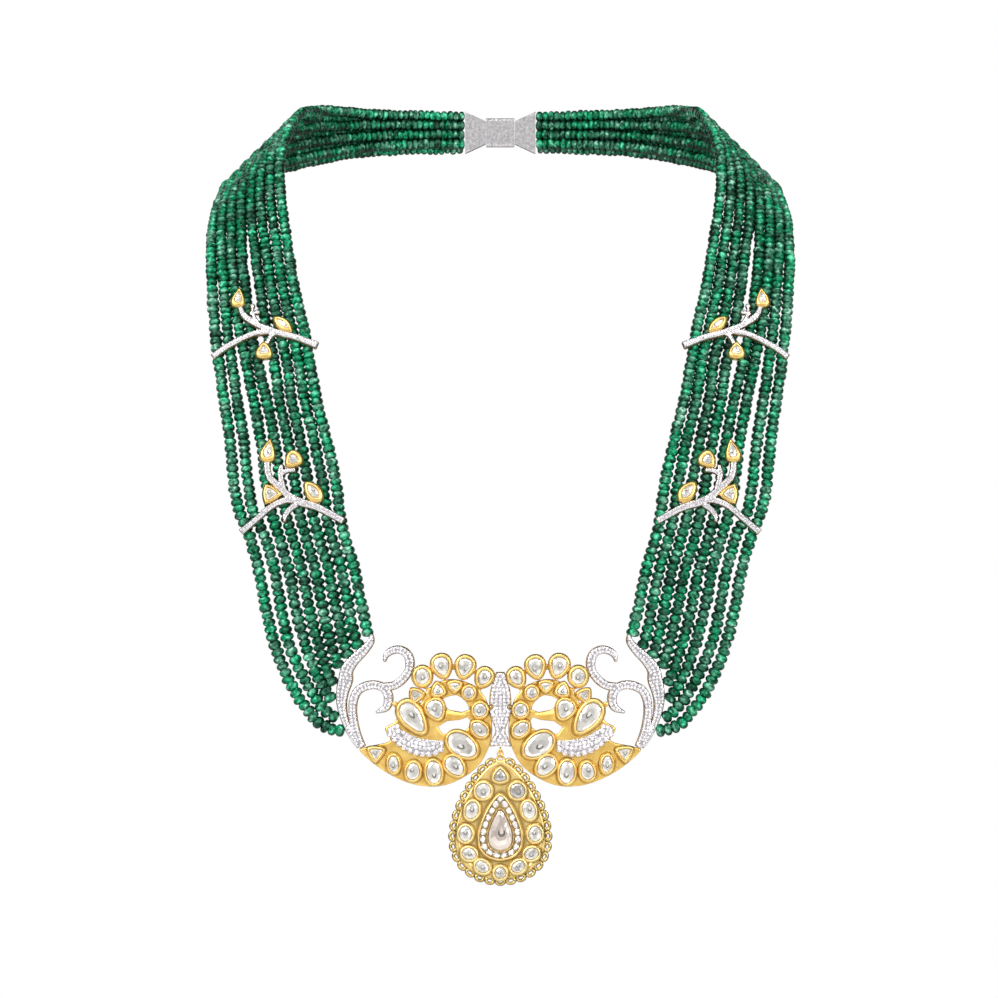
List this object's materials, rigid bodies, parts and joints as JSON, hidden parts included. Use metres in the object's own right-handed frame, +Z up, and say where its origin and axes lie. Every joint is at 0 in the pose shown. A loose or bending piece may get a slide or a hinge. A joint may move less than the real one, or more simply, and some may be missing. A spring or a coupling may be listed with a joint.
{
  "type": "layered bead necklace",
  "caption": "Long layered bead necklace with leafy spacers, a mirrored peacock centrepiece set with uncut stones, and a free-hanging pear drop.",
  "frame": {"origin": "middle of the clasp's inner face, where the necklace rests on the nape", "axes": "+Z up, the front of the necklace faces -Y, +X to the right as seen from the front"},
  "size_m": [0.1986, 0.1421, 0.266],
  "materials": {
    "emerald_beads": "polished green stone beads, slightly translucent",
    "white_gold": "bright white gold set with small diamonds",
    "yellow_gold": "satin yellow gold with polished bezels",
    "pale_gold": "satin yellow gold, slightly paler",
    "uncut_diamond": "foil-backed uncut diamond, silvery",
    "small_diamonds": "small bright diamonds"
  },
  "bodies": {
    "necklace": {"strand_left_1": "emerald_beads", "strand_left_2": "emerald_beads", "strand_left_3": "emerald_beads", "strand_left_4": "emerald_beads", "strand_left_5": "emerald_beads", "strand_left_6": "emerald_beads", "strand_left_7": "emerald_beads", "strand_left_8": "emerald_beads", "strand_right_1": "emerald_beads", "strand_right_2": "emerald_beads", "strand_right_3": "emerald_beads", "strand_right_4": "emerald_beads", "strand_right_5": "emerald_beads", "strand_right_6": "emerald_beads", "strand_right_7": "emerald_beads", "strand_right_8": "emerald_beads", "spacer_left_upper": "white_gold", "leaf_stones_left_upper": "uncut_diamond", "spacer_left_lower": "white_gold", "leaf_stones_left_lower": "uncut_diamond", "spacer_right_upper": "white_gold", "leaf_stones_right_upper": "uncut_diamond", "spacer_right_lower": "white_gold", "leaf_stones_right_lower": "uncut_diamond", "peacock_left": "yellow_gold", "wing_left": "white_gold", "scroll_left": "white_gold", "body_stone_left": "uncut_diamond", "breast_stone_left": "uncut_diamond", "head_stone_left": "uncut_diamond", "crest_stone_left_1": "uncut_diamond", "crest_stone_left_2": "uncut_diamond", "crest_stone_left_3": "uncut_diamond", "crest_stone_left_4": "uncut_diamond", "neck_stones_left": "uncut_diamond", "tail_stones_left": "uncut_diamond", "peacock_right": "yellow_gold", "wing_right": "white_gold", "scroll_right": "white_gold", "body_stone_right": "uncut_diamond", "breast_stone_right": "uncut_diamond", "head_stone_right": "uncut_diamond", "crest_stone_right_1": "uncut_diamond", "crest_stone_right_2": "uncut_diamond", "crest_stone_right_3": "uncut_diamond", "crest_stone_right_4": "uncut_diamond", "neck_stones_right": "uncut_diamond", "tail_stones_right": "uncut_diamond", "centre_body": "white_gold", "end_cap_left": "white_gold", "end_cap_right": "white_gold", "clasp": "white_gold"},
    "drop": {"drop_frame": "pale_gold", "drop_centre_stone": "uncut_diamond", "drop_stones": "uncut_diamond", "drop_halo": "small_diamonds"}
  },
  "joints": [
    {"name": "drop_swing", "type": "hinge", "parent": "necklace", "child": "drop", "pos_m": [0, -0.1332, -0.2132], "axis": [1, 0, 0], "range_deg": [-60, 60]}
  ]
}
